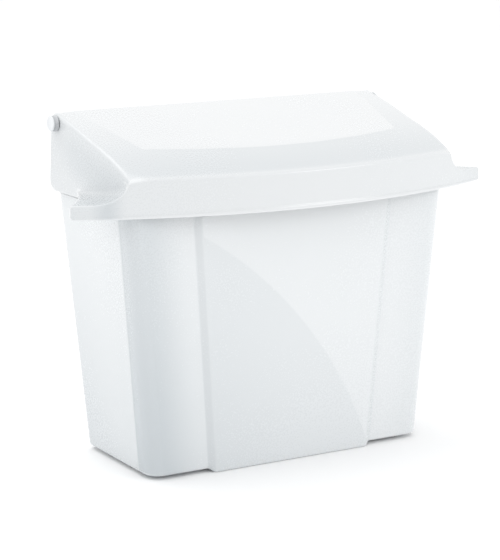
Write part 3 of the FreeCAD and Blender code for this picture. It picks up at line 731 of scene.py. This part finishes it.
def sheetZ(s, x, y, d):
    # The top's height at the share s of the way from its front edge to its back, fuller at the front.
    forward = lid["skew"] * max(1 - 2 * s, 0.0)
    z = lid["edgeZ"] + lid["rise"] * s + (4 * lid["bulge"] + forward) * s * (1 - s)
    fade = min(1.0, s / lid["reliefFade"])
    outward = min(max((abs(x) - lid["noseFromX"]) / lid["noseSpan"], 0.0), 1.0)
    ahead = max(0.0, 1 - s / lid["noseShare"]) ** 2 * outward ** 2
    return z - lidRelief(x, y) * fade - d * lid["sheetSlope"] - lid["noseDrop"] * ahead


def cheekX(y, z):
    share = (y - lid["cheekFrontY"]) / (lid["wallY"] - lid["cheekFrontY"])
    top = mix(lid["frontHalf"], lid["rearTop"], share)
    low = mix(lid["frontHalf"], lid["rearFlare"], share)
    return mix(low, top, (z - lid["flareLowZ"]) / lid["flareTall"])


def coveSize(share):
    # The scoop is deepest under the nose and dies out at the root.
    webZ = mix(lid["wingZ"], lid["rootZ"], share)
    reach = mix(lid["wingHalf"], lid["rootX"], share)
    nearX = cheekX(mix(lid["noseY"], lid["rootY"], share), webZ)
    deep = lid["edgeZ"] - lid["sideRound"] - lid["wingZ"]
    radius = mix(deep, 1.0, share ** lid["coveEase"])
    across = min(radius * lid["coveStretch"], max(lid["coveRoom"] * (reach - nearX), 0.0))
    return webZ, reach, radius, across


def cheekLow(y):
    # The cheek's lower edge, with its round corner at the back.
    if y <= lid["cheekBackY"] - lid["cheekCorner"]:
        return lid["cheekBottomZ"]
    away = y - (lid["cheekBackY"] - lid["cheekCorner"])
    root = max(lid["cheekCorner"] ** 2 - away ** 2, 0.0)
    return lid["cheekBottomZ"] + lid["cheekCorner"] - math.sqrt(root)


def skinPlan(d):
    # What the patches of one skin share, at depth d under the outer face.
    face = lid["radius"] - lid["faceInset"] - d
    roll = max(lid["edgeRoll"] - d, 0.05)
    frontY = arcY(lid["sideX"], face - roll)
    rowShare = (lid["rootY"] - frontY) / (lid["backY"] - frontY)
    rows = [rowShare * k / lid["earRows"] for k in range(lid["earRows"])]
    rows += [mix(rowShare, 1, k / 26) for k in range(27)]
    return {"d": d, "face": face, "roll": roll, "startR": face - roll, "rowShare": rowShare, "rows": rows}


def yAt(plan, x, s):
    return mix(arcY(x, plan["startR"]), lid["backY"], s)


def halfAt(plan, s):
    return cheekX(yAt(plan, lid["sideX"], s), lid["flareTopZ"])


def sheetPatch(plan):
    # Columns across the half width, closer together at the panel's side edge.
    columns = sorted(set(list(np.linspace(0, 1, 34)) + list(np.linspace(0.875, 0.945, 10))))
    made = []
    for s in plan["rows"]:
        across = [(halfAt(plan, s) - lid["sideRound"]) * share for share in columns]
        made.append([(x, yAt(plan, x, s), sheetZ(s, x, yAt(plan, x, s), plan["d"])) for x in across])
    return made


def filletTurns():
    return [math.radians(15 * k) for k in range(7)]


def filletPatch(plan, sheet):
    # The round between the sheet and the cheek.
    tight = max(lid["sideRound"] - plan["d"], 0.3)
    made = []
    for row, s in enumerate(plan["rows"]):
        start = halfAt(plan, s) - lid["sideRound"]
        line = [sheet[row][-1]]
        for turn in filletTurns()[1:]:
            x = start + tight * math.sin(turn)
            y = yAt(plan, x, s)
            line.append((x, y, sheetZ(s, start, y, 0) - lid["sideRound"] + tight * math.cos(turn)))
        made.append(line)
    return made


def cheekPatch(plan, fillet):
    made = []
    for row, s in enumerate(plan["rows"]):
        webZ, radius = coveSize(min(s / plan["rowShare"], 1.0))[::2]
        half, y = halfAt(plan, s), yAt(plan, lid["sideX"], s)
        high = sheetZ(s, half - lid["sideRound"], y, 0) - lid["sideRound"]
        line = [fillet[row][-1]]
        for k in range(1, 17):
            z = mix(high, min(webZ + radius, high), k / 16)
            x = mix(half, cheekX(y, z), min(3 * k / 16, 1)) - plan["d"]
            line.append((x, yAt(plan, x, s), z))
        made.append(line)
    return made


def earRow(plan, row, start):
    # One section of the ear: the scoop, the flat web and its round outer corner, with their normals.
    d = plan["d"]
    share = min(plan["rows"][row] / plan["rowShare"], 1.0)
    webZ, reach, radius, across = coveSize(share)
    made, facing = [start[::2]], [(1.0, 0.0)]
    for k in range(1, 11):
        turn = math.radians(lid["coveEnd"] * k / 10)
        x = start[0] + d + across - (across + d) * math.cos(turn)
        made.append((x, webZ + radius - (radius + d) * math.sin(turn)))
        facing.append((math.cos(turn), math.sin(turn)))
    fromX, fromZ = made[-1]
    corner = min(lid["tipCorner"], 0.4 * max(reach - fromX, 0.0))
    flatEnd = reach - corner
    for k in range(1, 11):
        made.append((mix(fromX, flatEnd, k / 10), mix(fromZ, webZ - d, min(k / 2, 1))))
        facing.append((0.0, 1.0))
    for k in range(1, 6):
        turn = math.radians(18 * k)
        drop = corner * (1 - math.cos(turn)) if d == 0 else 0.0
        made.append((flatEnd + corner * math.sin(turn) - (0.25 * k / 5 if d else 0), webZ - d - drop))
        facing.append((math.sin(turn), math.cos(turn)) if d == 0 else (0.0, 1.0))
    placed = [start]
    for k, (x, z) in enumerate(made[1:], 1):
        y = mix(arcY(min(x, lid["wingHalf"]), plan["startR"]), lid["rootY"], share)
        placed.append((x, y, min(z, start[2] - 0.02 * k)))
    return placed, facing


def lowerPatch(plan, cheek):
    # The cheek below the ear's level, from the ear's root to the back.
    made = []
    for row in range(lid["earRows"], len(plan["rows"])):
        start, y = cheek[row][-1], yAt(plan, lid["sideX"], plan["rows"][row])
        line = [start]
        for k in range(1, 5):
            z = mix(start[2], cheekLow(y), k / 4)
            line.append((cheekX(y, z) - plan["d"], start[1], z))
        made.append(line)
    return made


def rearPatch(plan, tall):
    # Behind the sheet the cheek runs on round the hinge.
    highest, lowest = tall[0][2], tall[-1][2]
    made = [tall]
    for k in range(1, 11):
        y = mix(lid["backY"], lid["cheekBackY"], math.sin(math.radians(9 * k)))
        reach = math.sqrt(max(lid["pinArc"] ** 2 - (y - pinY) ** 2, 0.0))
        top = pinZ + reach - plan["d"] * (1 - k / 10)
        low = cheekLow(y)
        line = []
        for x, oldY, oldZ in tall:
            z = mix(low, top, (oldZ - lowest) / (highest - lowest))
            line.append((x + cheekX(y, z) - cheekX(lid["backY"], oldZ), y - 0.02, z))
        made.append(line)
    return made


def rolledPatch(plan, edge):
    # The front edge rolls over on to the skirt's face.
    made = [[p for p, n in edge]]
    for step in range(1, 6):
        turn = math.radians(18 * step)
        line = []
        for (x, y, z), (nx, nz) in edge:
            small = plan["roll"] * min(1.0, max((lid["wingHalf"] - x) / 4.0, 0.04)) * (1 - math.cos(turn))
            radius = plan["startR"] + plan["roll"] * math.sin(turn)
            x -= small * nx
            line.append((x, arcY(min(x, lid["wingHalf"]), radius), z - small * nz))
        made.append(line)
    return made


def skirtBottom(x):
    corner = lid["tipCorner"]
    over = x - (lid["wingHalf"] - corner)
    if over <= 0:
        return lid["bottomZ"]
    return lid["bottomZ"] + corner - math.sqrt(max(corner ** 2 - over ** 2, 0.0))


def skirtPatch(plan, top):
    # The skirt's face down to the bead, then the bead's own round section.
    made, lowest = [top], lid["skirtShares"][-1]
    for share in lid["skirtShares"]:
        line = []
        for x, y, z in top:
            low = skirtBottom(x) + beadTall(x) * 1.25
            line.append((x, arcY(x, plan["face"]), mix(z, low, share / lowest * lid["skirtReach"])))
        made.append(line)
    for height, out in lid["beadShape"]:
        proud = lid["faceInset"] * out if plan["d"] == 0 else 0.0
        line = []
        for x, y, z in top:
            low = skirtBottom(x) + beadTall(x) * height
            line.append((x, arcY(x, plan["face"] + proud * beadFade(x)), min(low, z - 0.01)))
        made.append(line)
    return made


def lidSkin(d):
    # Every patch of the right half of the lid's skin at depth d under its outer face.
    plan = skinPlan(d)
    sheet = sheetPatch(plan)
    fillet = filletPatch(plan, sheet)
    cheek = cheekPatch(plan, fillet)
    ears = [earRow(plan, row, cheek[row][-1]) for row in range(lid["earRows"] + 1)]
    lower = lowerPatch(plan, cheek)
    rear = rearPatch(plan, fillet[-1] + cheek[-1][1:] + lower[-1][1:])
    edge = [(p, (0.0, 1.0)) for p in sheet[0]]
    edge += [(p, (math.sin(t), math.cos(t))) for p, t in zip(fillet[0][1:], filletTurns()[1:])]
    edge += list(zip(ears[0][0][1:], ears[0][1][1:]))
    rolled = rolledPatch(plan, edge)
    return [sheet, fillet, cheek, [made for made, facing in ears], lower, rear, rolled,
            skirtPatch(plan, rolled[-1])]


def beadTall(x):
    return lid["beadHeight"] * (1 - lid["beadThin"] * (abs(x) / lid["wingHalf"]) ** 2)


def beadFade(x):
    return 1 - lid["beadFlat"] * (abs(x) / lid["wingHalf"]) ** 4


def skinShell(outer, inner):
    # Welds the outer patches, gives the inner ones the same joins, and closes the rims.
    keys, index, keptOuter, keptInner = {}, [], [], []
    for one, two in zip(outer, inner):
        for rowOne, rowTwo in zip(one, two):
            for p, q in zip(rowOne, rowTwo):
                key = tuple(int(round((v + 0.000317) * 200)) for v in p)
                if key not in keys:
                    keys[key] = len(keptOuter)
                    keptOuter.append(p)
                    keptInner.append(q)
                index.append(keys[key])
    faces, start = [], 0
    for one in outer:
        height, width = len(one), len(one[0])
        for r in range(height - 1):
            for c in range(width - 1):
                first = start + r * width + c
                corners = [index[k] for k in (first, first + 1, first + width + 1, first + width)]
                corners = [v for k, v in enumerate(corners) if v != corners[k - 1]]
                if len(set(corners)) >= 3 and len(set(corners)) == len(corners):
                    faces.append(tuple(corners))
        start += height * width
    uses = {}
    for face in faces:
        for k, v in enumerate(face):
            pair = (face[k - 1], v)
            uses.setdefault(tuple(sorted(pair)), []).append(pair)
    count = len(keptOuter)
    closed = list(faces) + [tuple(v + count for v in reversed(face)) for face in faces]
    for pairs in uses.values():
        if len(pairs) == 1:
            a, b = pairs[0]
            closed.append((b, a, a + count, b + count))
    return keptOuter + keptInner, closed


def mirrored(patches):
    return [[[(-x, y, z) for x, y, z in row] for row in patch] for patch in patches]


def cheekLip(side):
    # The wall's lower lip, which runs on below the ear.
    z, tall, ease, wall = lid["cheekBottomZ"], lid["lipTall"], 0.3, lid["wall"]
    rings = []
    for k in range(13):
        y = mix(lid["lipFrontY"], lid["rootY"] + 0.5, k / 12)
        out = cheekX(y, z)
        section = ((ease, 0), (0, ease), (0, tall), (wall, tall), (wall, ease), (wall - ease, 0))
        rings.append([(side * (out - inward), y, z + up) for inward, up in section])
    return ringStack(rings)


def makeLid(material):
    outer, inner = lidSkin(0.0), lidSkin(lid["wall"])
    shells = [skinShell(outer + mirrored(outer), inner + mirrored(inner))]
    for side in (-1, 1):
        shells.append(cheekLip(side))
        shells.append(lathe([(side * x, radius) for x, radius in lid["bossProfile"]]))
    mesh = meshOf("lidShell", *joinShells(shells))
    thing = putObject("lid_shell", mesh, material, 34)
    bevelled(thing, 0.45, 2, 50)
    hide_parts("lid")
    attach(thing, "lid")
    return thing


# ---- hinge pins and their push-on retainers

pin = {"headRadius": 5.6, "headLength": {-1: 4.8, 1: 1.2}, "shankRadius": 2.0, "chamfer": 0.7, "dish": 0.25}
# Where the painted shade falls on the left pin head, in metres.
pinPaintedShade = {"face": (-0.1376, -0.1368), "leftOnly": (-0.10, -0.09)}


def pinShade(start, axes):
    # Painted shade: the tall left head's wall is darker than its face.
    x, y, z = axes
    return x.step(*pinPaintedShade["face"]) * (1.0 - x.step(*pinPaintedShade["leftOnly"]))


def makePin(side, name, node, material):
    low, high = (np.array(corner)[0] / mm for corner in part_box(node))
    tip, crown = (low, high) if side > 0 else (high, low)
    shoulder = crown - side * pin["headLength"][side]
    radius, shank = pin["headRadius"], pin["shankRadius"]
    chamfer = min(pin["chamfer"], pin["headLength"][side] * 0.4)
    profile = [(tip, shank - 0.5), (tip + side * 0.5, shank), (shoulder, shank),
               (shoulder, radius - 0.3), (shoulder + side * 0.3, radius)]
    for k in range(6):
        turn = math.radians(18 * k)
        profile.append((crown - side * chamfer * (1 - math.sin(turn)),
                        radius - chamfer * (1 - math.cos(turn))))
    profile += [(crown - side * pin["dish"] * 0.2, radius - chamfer - 0.8),
                (crown - side * pin["dish"], radius - chamfer - 1.5),
                (crown - side * pin["dish"], 0.6)]
    thing = putObject(name, meshOf(name, *lathe(profile, 72)), material, 40)
    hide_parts(node)
    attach(thing, "lid")


retainer = {"outer": 3.7, "inner": 2.35, "toothTip": 1.95, "thickness": 0.8, "teeth": 6,
            "toothWidth": 1.15, "toothThickness": 0.8}


def retainerTree(material):
    # A flat ring with inward teeth, all sizes as inputs.
    tree = bpy.data.node_groups.new("retainerTeeth", "GeometryNodeTree")
    tree.interface.new_socket("Geometry", in_out="OUTPUT", socket_type="NodeSocketGeometry")
    for name, kind in (("Ring radius", "NodeSocketFloat"), ("Ring width", "NodeSocketFloat"),
                       ("Tooth length", "NodeSocketFloat"), ("Thickness", "NodeSocketFloat"),
                       ("Teeth", "NodeSocketInt")):
        tree.interface.new_socket(name, in_out="INPUT", socket_type=kind)
    entry = Wire(tree)
    source = tree.nodes.new("NodeGroupInput")
    ringRadius, ringWidth, toothLength, thickness, teeth = (Wire(tree, source.outputs[k]) for k in range(5))
    circle = entry.add("GeometryNodeCurvePrimitiveCircle", {"mode": "RADIUS"},
                       {"Resolution": 64, "Radius": ringRadius})
    section = entry.add("GeometryNodeCurvePrimitiveQuadrilateral", {"mode": "RECTANGLE"},
                        {"Width": ringWidth, "Height": thickness})
    band = entry.add("GeometryNodeCurveToMesh", None, {"Curve": circle, "Profile Curve": section})
    spots = entry.add("GeometryNodeCurveToPoints", {"mode": "COUNT"},
                      {"Curve": circle, "Count": teeth})
    size = entry.add("ShaderNodeCombineXYZ", None, {0: thickness * retainer["toothWidth"], 1: toothLength,
                                                    2: thickness * retainer["toothThickness"]})
    tooth = entry.add("GeometryNodeMeshCube", None, {"Size": size, "Vertices X": 2, "Vertices Y": 3,
                                                    "Vertices Z": 2})
    reach = entry.add("ShaderNodeCombineXYZ", None, {0: 0.0, 1: toothLength * 0.5, 2: 0.0})
    tooth = entry.add("GeometryNodeTransform", None, {"Geometry": tooth, "Translation": reach})
    inward = entry.add("GeometryNodeInputPosition")
    inward = entry.add("ShaderNodeVectorMath", {"operation": "SCALE"}, {0: inward, "Scale": -1.0})
    facing = entry.add("FunctionNodeAlignEulerToVector", {"axis": "Y"}, {"Vector": inward})
    placed = entry.add("GeometryNodeInstanceOnPoints", None,
                       {"Points": spots, "Instance": tooth, "Rotation": facing})
    real = entry.add("GeometryNodeRealizeInstances", None, {0: placed})
    both = tree.nodes.new("GeometryNodeJoinGeometry")
    tree.links.new(band.socket, both.inputs[0])
    tree.links.new(real.socket, both.inputs[0])
    painted = entry.add("GeometryNodeSetMaterial", None,
                        {"Geometry": Wire(tree, both.outputs[0]), "Material": material})
    result = tree.nodes.new("NodeGroupOutput")
    tree.links.new(painted.socket, result.inputs[0])
    return tree


def makeRetainer(side, name, node, material, tree):
    low, high = (np.array(corner)[0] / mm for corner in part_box(node))
    middle = (low + high) / 2
    mesh = bpy.data.meshes.new(name)
    thing = bpy.data.objects.new(name, mesh)
    bpy.context.scene.collection.objects.link(thing)
    grow = thing.modifiers.new("teeth", "NODES")
    grow.node_group = tree
    width = retainer["outer"] - retainer["inner"]
    values = {"Ring radius": (retainer["outer"] + retainer["inner"]) / 2 * mm, "Ring width": width * mm,
              "Tooth length": (retainer["inner"] - retainer["toothTip"] + width * 0.5) * mm,
              "Thickness": retainer["thickness"] * mm, "Teeth": retainer["teeth"]}
    for item in tree.interface.items_tree:
        if item.in_out == "INPUT":
            grow[item.identifier] = values[item.name]
    bake(thing)
    # Turned to face along the hinge and carried to its place in the mesh itself.
    for vertex in thing.data.vertices:
        x, y, z = vertex.co
        vertex.co = (middle * mm + z, pinY * mm + x, pinZ * mm + y)
    thing.data.update()
    thing.data.materials.clear()
    thing.data.materials.append(material)
    bevelled(thing, 0.12, 2, 40)
    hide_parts(node)
    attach(thing, "lid")


# ---- the liner

liner = {
    "baseHalf": 107.79, "topHalf": 119.5, "frontBase": -32.8, "frontTop": -33.4, "backBase": 56.4,
    "backTop": 62.5, "floorZ": 5.3, "topZ": 180.5, "radius": 9.1, "wall": 1.8, "flange": 2.2,
    "tabX": 117.7, "tabThick": 1.8, "tabLow": -8.8, "tabHigh": 31.2, "tabTop": 192.7,
    "tabFoot": 179.0, "tabCorner": 5.0, "ribCount": 7, "ribPitch": 4.2, "ribZ": 183.0, "ribTall": 6.4,
}


def linerRing(z, inset):
    share = (z - liner["floorZ"]) / (liner["topZ"] - liner["floorZ"])
    half = mix(liner["baseHalf"], liner["topHalf"], share) - inset
    front = mix(liner["frontBase"], liner["frontTop"], share) + inset
    back = mix(liner["backBase"], liner["backTop"], share) - inset
    radius = max(liner["radius"] - inset, 0.5)
    made = []
    for quarter, (sx, sy) in enumerate(((1, 1), (-1, 1), (-1, -1), (1, -1))):
        centre = (sx * (half - radius), (back - radius) if sy > 0 else (front + radius))
        made += [(x, y, z) for x, y in cornerArc(centre, radius, 90 * quarter, 8)]
    return made


def makeLiner(material):
    # Up the outside, over the flange and down the inside.
    wall, flange, top, floor = liner["wall"], liner["flange"], liner["topZ"], liner["floorZ"]
    section = [(floor, 4.0), (floor + 0.4, 1.8), (floor + 1.5, 0.6), (floor + 4.2, 0.0)]
    section += [(z, 0.0) for z in (60, 120, 176, 178.2)]
    section += [(top - 1.75, 0.4 - flange), (top - 1.3, -flange), (top - 0.5, -flange), (top, 0.5 - flange),
                (top, wall - 0.4), (top - 0.4, wall)]
    section += [(z, wall) for z in (120, 60, 12)]
    section += [(8.6, wall + 0.7), (7.3, wall + 2.4), (7.1, wall + 4.5)]
    shells = [ringStack([linerRing(z, inset) for z, inset in section])]
    for side in (-1, 1):
        shells.append(gripTab(side))
        for k in range(liner["ribCount"]):
            shells.append(gripRib(side, k))
    mesh = meshOf("linerShell", *joinShells(shells))
    thing = putObject("liner_bucket", mesh, material, 35)
    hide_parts("liner")
    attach(thing, "bin")


def gripTab(side):
    low, high, top, bottom = liner["tabLow"], liner["tabHigh"], liner["tabTop"], liner["tabFoot"]
    radius = liner["tabCorner"]

    def ring(x, inset):
        made = [(x, low + inset, bottom), (x, low + inset, top - radius)]
        for middle, start, first in ((low + radius, 180, 1), (high - radius, 90, 0)):
            for k in range(first, 8):
                turn = math.radians(start - 90 * k / 7)
                made.append((x, middle + (radius - inset) * math.cos(turn),
                             top - radius + (radius - inset) * math.sin(turn)))
        made.append((x, high - inset, bottom))
        return made

    near, far = side * liner["tabX"], side * (liner["tabX"] + liner["tabThick"])
    ease = side * 0.35
    return ringStack([ring(near, 0.35), ring(near + ease, 0.0), ring(far - ease, 0.0), ring(far, 0.35)])


def gripRib(side, number):
    z, tall = liner["ribZ"], liner["ribTall"]
    y = (liner["tabLow"] + liner["tabHigh"]) / 2 + (number - (liner["ribCount"] - 1) / 2) * liner["ribPitch"]
    x = side * (liner["tabX"] - 0.25)
    rings = []
    for height, radius in ((z - 0.6, 0.2), (z, 0.5), (z + tall, 0.5), (z + tall + 0.6, 0.2)):
        turns = [2 * math.pi * k / 12 for k in range(12)]
        rings.append([(x + radius * math.cos(t), y + radius * math.sin(t), height) for t in turns])
    return ringStack(rings)


# ---- rubber bumpers

bumper = {"x": 100.26, "y": -38.2, "radius": 4.5, "lowZ": 209.92, "highZ": 217.2}


def makeBumpers(material):
    # Round-nosed plugs, tilted with the collar's sloping edge.
    tilt, radius, tall = math.atan(tub["rimSlope"]), bumper["radius"], bumper["highZ"] - bumper["lowZ"]
    profile = ((0.0, radius - 2.3), (0.0, radius - 1.3), (0.25, radius - 0.6), (0.8, radius - 0.15),
               (1.6, radius), (tall - 0.4, radius), (tall, radius - 0.4))
    shells = []
    for side in (-1, 1):
        rings = []
        for along, reach in profile:
            ring = []
            for k in range(40):
                turn = 2 * math.pi * k / 40
                x, forward = reach * math.cos(turn), reach * math.sin(turn)
                y = forward * math.cos(tilt) - along * math.sin(tilt)
                z = forward * math.sin(tilt) + along * math.cos(tilt)
                ring.append((side * bumper["x"] + x, bumper["y"] + y, bumper["lowZ"] + z))
            rings.append(ring)
        shells.append(ringStack(rings))
    mesh = meshOf("bumperPair", *joinShells(shells))
    thing = putObject("lid_bumper_pair", mesh, material, 40)
    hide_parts("lid_bumpers")
    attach(thing, "lid")


# ---- everything in turn

makeCamera()
makeStudio()
print("camera and studio ready")
shellPaint = plainPlastic("shellPlastic", whiteLook, tubShade)
lidPaint = plainPlastic("lidPlastic", lidLook, lidShade)
pinPaint = plainPlastic("pinPlastic", pinLook, pinShade)
linerPaint = plainPlastic("linerPlastic", linerLook)
steelPaint = plainPlastic("retainerSteel", steelLook)
rubberPaint = plainPlastic("bumperRubber", rubberLook)
print("materials ready")
makeTub(shellPaint)
print("tub ready")
makeLid(lidPaint)
print("lid ready")
makePin(-1, "hinge_pin_left_head", "hinge_pin_left", pinPaint)
makePin(1, "hinge_pin_right_head", "hinge_pin_right", pinPaint)
teethTree = retainerTree(steelPaint)
makeRetainer(-1, "retainer_left_ring", "pin_retainer_left", steelPaint, teethTree)
makeRetainer(1, "retainer_right_ring", "pin_retainer_right", steelPaint, teethTree)
print("pins and retainers ready")
makeLiner(linerPaint)
makeBumpers(rubberPaint)
print("liner and bumpers ready")
